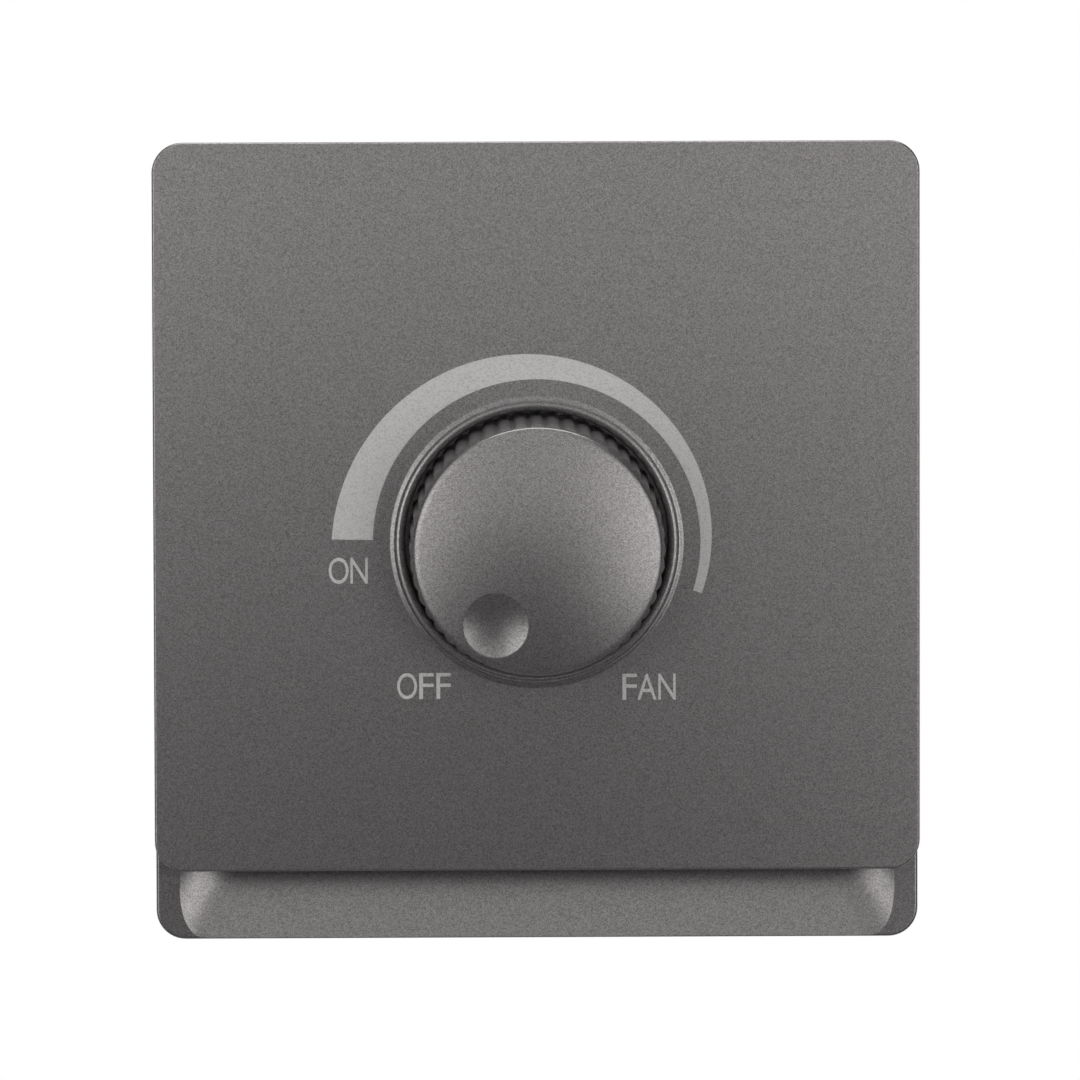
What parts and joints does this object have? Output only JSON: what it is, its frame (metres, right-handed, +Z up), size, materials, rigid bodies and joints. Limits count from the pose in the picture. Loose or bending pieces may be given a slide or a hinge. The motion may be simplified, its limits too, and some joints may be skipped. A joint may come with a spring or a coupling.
{
  "type": "fan speed control switch",
  "caption": "Square wall plate fan speed control: a ribbed rotary dial with a finger dimple in a clip-on grey plate, on a frame with a pull recess and a rear circuit housing.",
  "frame": {"origin": "where the dial axis meets the wall plane that the frame's rear rim lies on", "axes": "+Z up, +X to the right as seen from the front, +Y into the wall, so the dial faces -Y"},
  "size_m": [0.086, 0.0471, 0.0904],
  "materials": {
    "satin_grey": "satin metallic grey paint on moulded plastic",
    "housing_black": "fine grained black moulding",
    "terminal_ivory": "plain moulded plastic",
    "phenolic_brown": "punched phenolic sheet",
    "board_green": "solder resist over glass fibre board",
    "epoxy_black": "moulded epoxy",
    "zinc_steel": "bright zinc plate",
    "brass": "turned and milled brass",
    "aluminium": "mill finish sheet",
    "copper_enamel": "enamelled copper wire",
    "ferrite": "sintered ferrite",
    "film_yellow": "flame retardant plastic case",
    "film_green": "dipped film",
    "resistor_tan": "lacquered ceramic",
    "diac_blue": "glass bead in lacquer"
  },
  "bodies": {
    "control": {"front_plate": "satin_grey", "base_frame": "satin_grey", "dial_cup": "satin_grey", "rear_housing": "housing_black", "housing_screws": "zinc_steel", "circuit_board": "board_green", "board_screws": "zinc_steel", "pot_bush_plate": "zinc_steel", "pot_track": "phenolic_brown", "pot_can": "zinc_steel", "pot_switch": "epoxy_black", "pot_pins": "zinc_steel", "bush_washer": "zinc_steel", "bush_nut": "brass", "heat_sink": "aluminium", "triac_body": "epoxy_black", "triac_leadframe": "zinc_steel", "triac_screw": "zinc_steel", "triac_nut": "zinc_steel", "film_capacitor": "film_yellow", "choke_core": "ferrite", "choke_winding": "copper_enamel", "timing_capacitor": "film_green", "snubber_capacitor": "film_green", "gate_resistor": "resistor_tan", "charge_resistor": "resistor_tan", "snubber_resistor": "resistor_tan", "diac": "diac_blue", "terminal_block": "terminal_ivory", "line_clamp": "brass", "load_clamp": "brass", "terminal_screws": "zinc_steel"},
    "dial": {"knob": "satin_grey", "pot_shaft": "phenolic_brown", "pot_wiper": "brass"}
  },
  "joints": [
    {"name": "dial_turn", "type": "hinge", "parent": "control", "child": "dial", "pos_m": [0, -0.01, 0], "axis": [0, 1, 0], "range_deg": [0, 300]}
  ]
}
